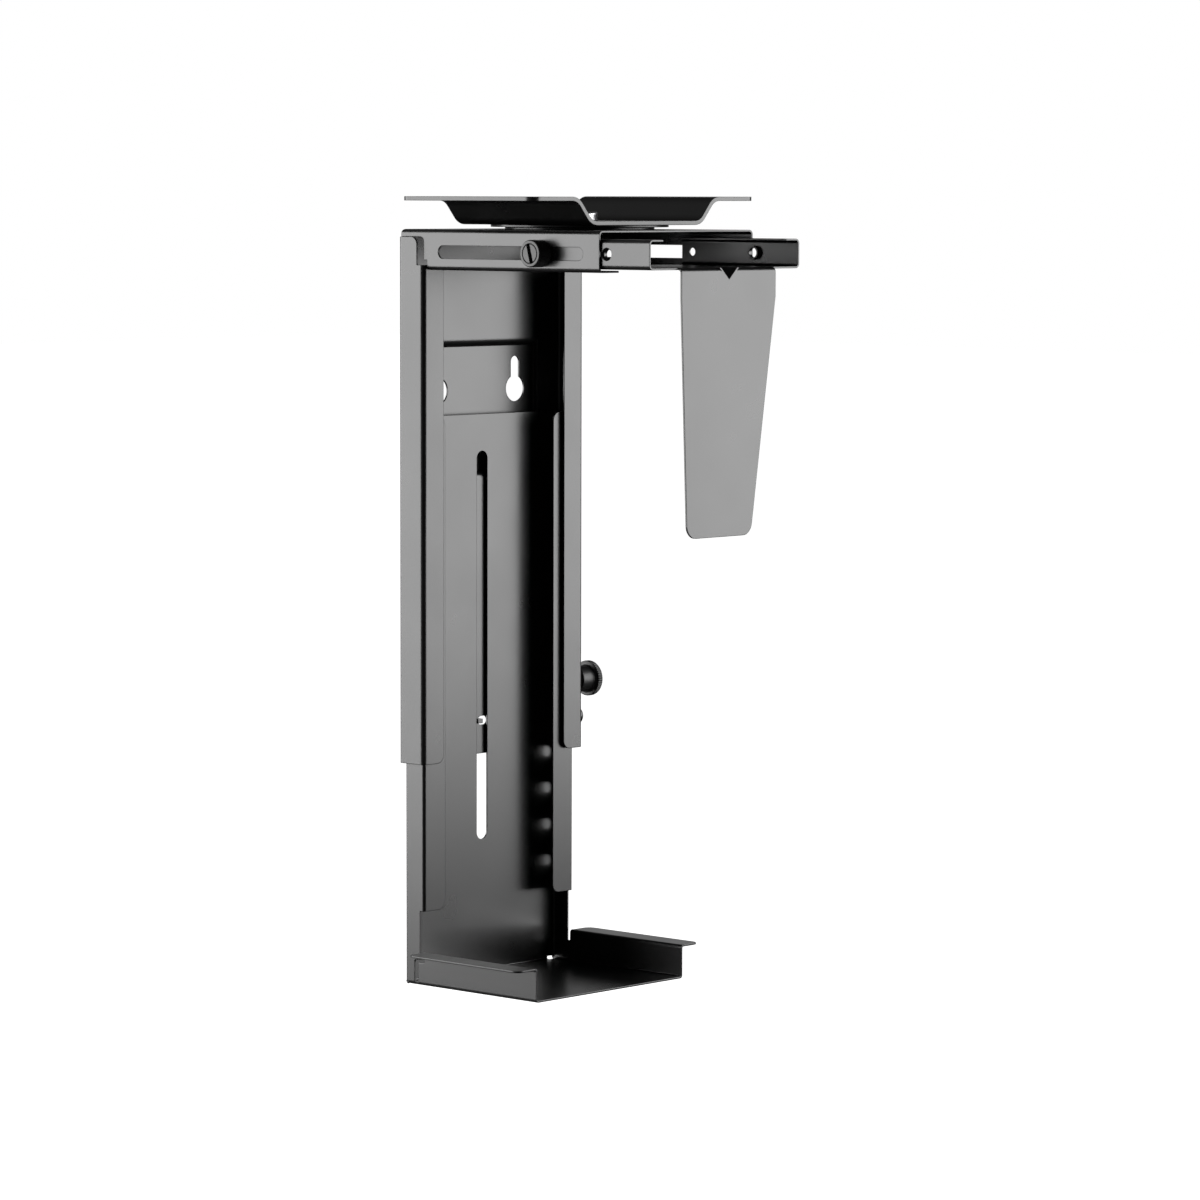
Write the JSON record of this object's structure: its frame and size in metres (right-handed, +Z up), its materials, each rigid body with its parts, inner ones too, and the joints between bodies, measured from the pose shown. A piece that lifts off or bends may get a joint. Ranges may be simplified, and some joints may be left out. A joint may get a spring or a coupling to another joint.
{
  "type": "under-desk computer holder",
  "caption": "Under-desk computer holder in bent black sheet steel: swivel desk plate, top bar with sliding side clamp, and a column with a height-adjustable tray.",
  "frame": {"origin": "middle of the desk face of the desk plate, on the swivel axis", "axes": "+Z up towards the desk along the swivel axis, +X from the column towards the clamp paddle, +Y across the column towards the height knob"},
  "size_m": [0.1818, 0.1726, 0.4203],
  "materials": {
    "black_coat": "smooth semi-gloss black powder coat on steel sheet",
    "disc_plastic": "smooth black nylon",
    "zinc_steel": "bright zinc plating",
    "knob_black": "moulded black plastic with a notched rim",
    "black_screw": "black plated steel"
  },
  "bodies": {
    "mount": {"desk_plate": "black_coat", "upper_disc": "disc_plastic", "swivel_bolt": "zinc_steel", "under_washer": "zinc_steel", "spring_washer": "zinc_steel", "lock_nut": "zinc_steel"},
    "upper": {"upper_frame": "black_coat", "lower_disc": "disc_plastic", "knob_nut": "zinc_steel", "side_screw": "black_screw", "side_nut": "zinc_steel"},
    "lower": {"lower_frame": "black_coat"},
    "clamp": {"clamp_slide": "black_coat", "slide_nut": "zinc_steel"},
    "knob": {"height_knob": "knob_black", "knob_stud": "zinc_steel"},
    "screw": {"thumb_screw": "black_screw"}
  },
  "joints": [
    {"name": "swivel", "type": "hinge", "parent": "mount", "child": "upper", "pos_m": [0, 0, 0], "axis": [0, 0, 1], "continuous": true},
    {"name": "height_slide", "type": "slide", "parent": "upper", "child": "lower", "axis": [0, 0, 1], "range_m": [-0.14, 0.06]},
    {"name": "width_slide", "type": "slide", "parent": "upper", "child": "clamp", "axis": [1, 0, 0], "range_m": [-0.0718, 0.0266]},
    {"name": "height_knob_turn", "type": "hinge", "parent": "upper", "child": "knob", "pos_m": [-0.0642, 0.0625, -0.265], "axis": [0, 1, 0], "continuous": true},
    {"name": "thumb_screw_turn", "type": "hinge", "parent": "clamp", "child": "screw", "pos_m": [0.0285, -0.06, -0.02925], "axis": [0, 1, 0], "continuous": true}
  ]
}
